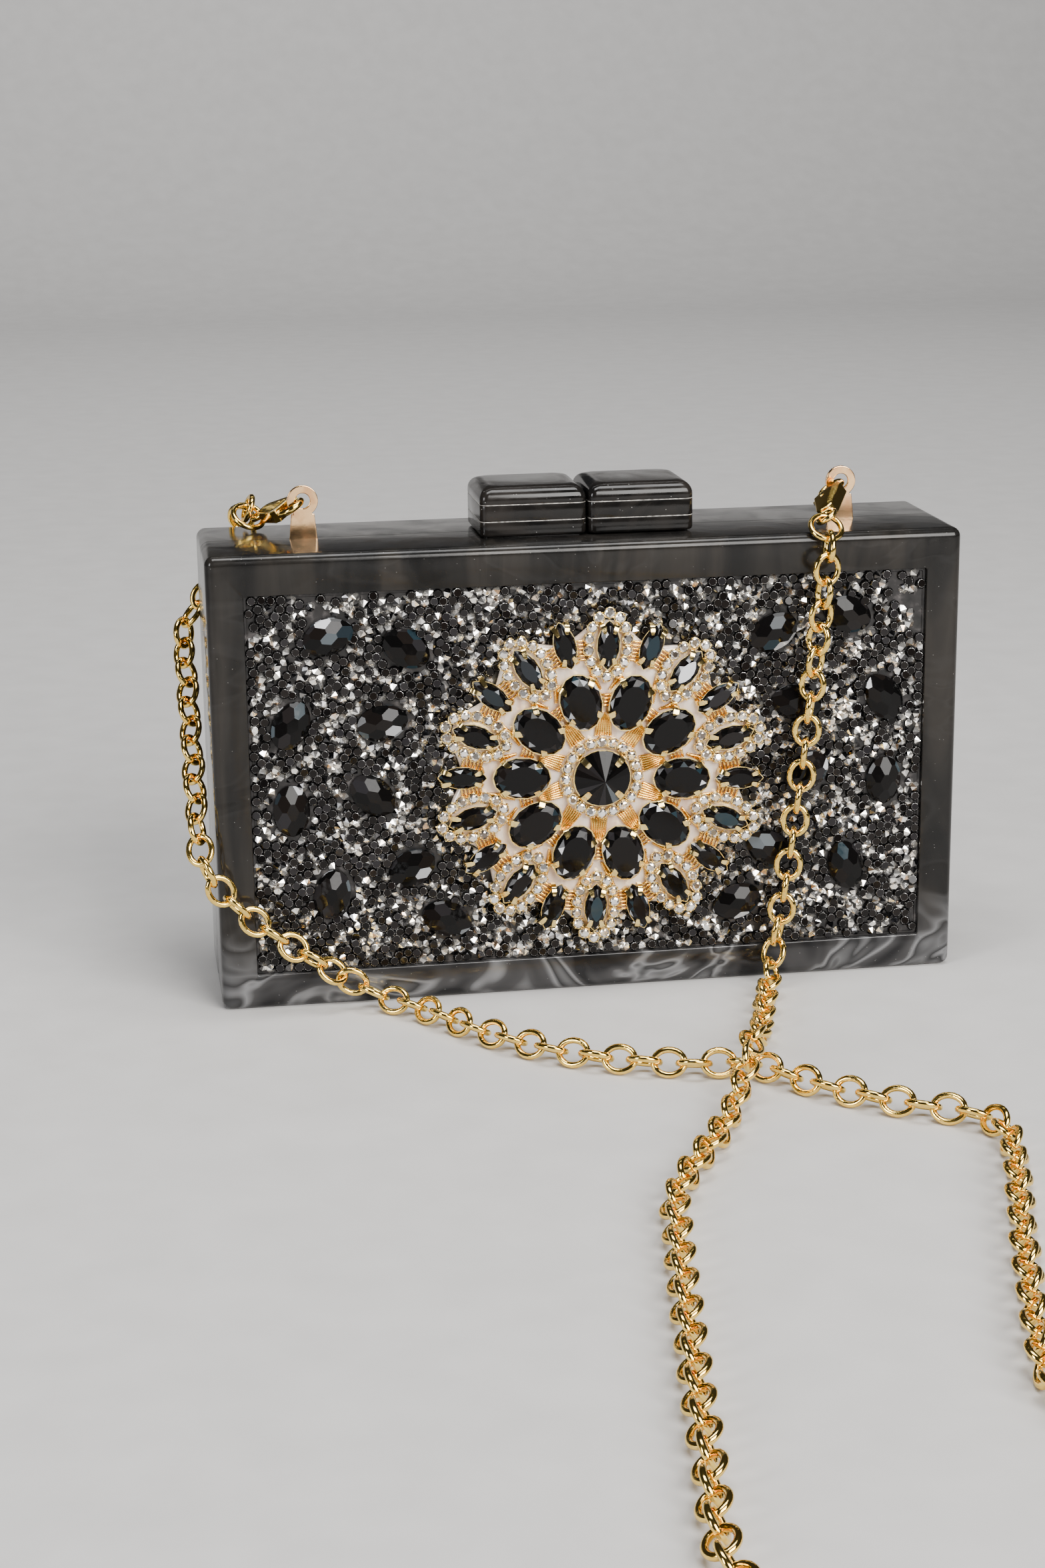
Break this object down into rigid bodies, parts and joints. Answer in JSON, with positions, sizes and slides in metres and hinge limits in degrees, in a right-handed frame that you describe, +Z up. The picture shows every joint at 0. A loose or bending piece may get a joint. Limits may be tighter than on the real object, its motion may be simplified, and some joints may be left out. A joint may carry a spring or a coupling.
{
  "type": "evening bag",
  "caption": "Hard-shell acrylic evening clutch with a stone-set window, a raised flower rosette, interlocking clasp blocks and a detachable gold link chain.",
  "frame": {"origin": "middle of the footprint of the closed case and its rosette, on the surface it stands on", "axes": "+X along the width, to the right when the decorated front is looked at; +Y from the front to the back; +Z up"},
  "size_m": [0.2076, 0.3942, 0.1361],
  "materials": {
    "marbled_acrylic": "smoky charcoal acrylic with pearly grey waves, polished",
    "block_acrylic": "black laminated acrylic, polished, pale glue lines",
    "board": "black, matt",
    "mixed_crystals": "packed black flat-top and silver-foiled pointed glass stones",
    "black_crystal": "jet-black faceted glass, foiled",
    "clear_crystal": "clear faceted rhinestones in fine gilt edging",
    "pearl_base": "cream to peach pearl lacquer",
    "gold_wire": "coiled gold bullion wire",
    "gold_settings": "pale gold plate, polished",
    "flocked_lining": "dark grey-plum flock on a thin card tray",
    "gilt_brass": "gold plate, polished",
    "bright_steel": "bright steel",
    "gilt_casting": "gold-plated casting, polished, warm reflections",
    "gilt_chain": "gold-plated light alloy, polished"
  },
  "bodies": {
    "front_half": {"front_frame": "marbled_acrylic", "panel_backer": "board", "panel_board": "board", "stone_field": "mixed_crystals", "accent_stones": "black_crystal", "rosette_base": "pearl_base", "bullion_bridges": "gold_wire", "center_setting": "gold_settings", "center_stone": "black_crystal", "center_rhinestones": "clear_crystal", "oval_settings": "gold_settings", "oval_stones": "black_crystal", "halo_rims": "clear_crystal", "halo_marquises": "black_crystal", "plain_settings": "gold_settings", "plain_marquises": "black_crystal", "front_lining": "flocked_lining", "front_hinge_leaf": "gilt_brass", "hinge_pin": "gilt_brass", "front_hinge_screws": "gilt_brass", "left_tab": "gilt_brass", "right_tab": "gilt_brass", "tab_rivets": "gilt_brass", "front_block_base": "block_acrylic", "front_block_middle": "block_acrylic", "front_block_top": "block_acrylic", "catch_sleeve": "gilt_brass", "catch_spring": "bright_steel", "left_clasp": "gilt_casting", "left_trigger_pin": "gilt_casting", "left_trigger_spring": "bright_steel", "left_jump_ring": "gilt_casting", "right_clasp": "gilt_casting", "right_trigger_pin": "gilt_casting", "right_trigger_spring": "bright_steel", "right_jump_ring": "gilt_casting", "chain_behind": "gilt_chain", "chain_left": "gilt_chain", "chain_loop": "gilt_chain", "chain_right": "gilt_chain"},
    "back_half": {"back_shell": "marbled_acrylic", "back_lining": "flocked_lining", "back_hinge_leaf": "gilt_brass", "back_hinge_screws": "gilt_brass", "back_block_base": "block_acrylic", "back_block_middle": "block_acrylic", "back_block_top": "block_acrylic", "catch_strike": "gilt_brass"},
    "catch_ball": {"catch_ball": "bright_steel"},
    "left_trigger": {"left_trigger": "gilt_casting"},
    "right_trigger": {"right_trigger": "gilt_casting"}
  },
  "joints": [
    {"name": "case_hinge", "type": "hinge", "parent": "front_half", "child": "back_half", "pos_m": [0, 0.004, 0.0024], "axis": [-1, 0, 0], "range_deg": [0, 90], "deforming": ["chain_behind"]},
    {"name": "catch_press", "type": "slide", "parent": "front_half", "child": "catch_ball", "axis": [-1, 0, 0], "range_m": [0, 0.0006], "stiffness_N_per_m": 300, "springref_m": -0.0003, "deforming": ["catch_spring"]},
    {"name": "left_trigger_pivot", "type": "hinge", "parent": "front_half", "child": "left_trigger", "pos_m": [-0.0773, 0.01074, 0.12919], "axis": [0.5299, 0, -0.848], "range_deg": [0, 14], "stiffness_Nm_per_rad": 0.02, "springref_deg": -17.19, "deforming": ["left_trigger_spring"]},
    {"name": "right_trigger_pivot", "type": "hinge", "parent": "front_half", "child": "right_trigger", "pos_m": [0.06708, -0.00336, 0.12784], "axis": [0.5878, 0, -0.809], "range_deg": [0, 14], "stiffness_Nm_per_rad": 0.02, "springref_deg": -17.19, "deforming": ["right_trigger_spring"]}
  ]
}
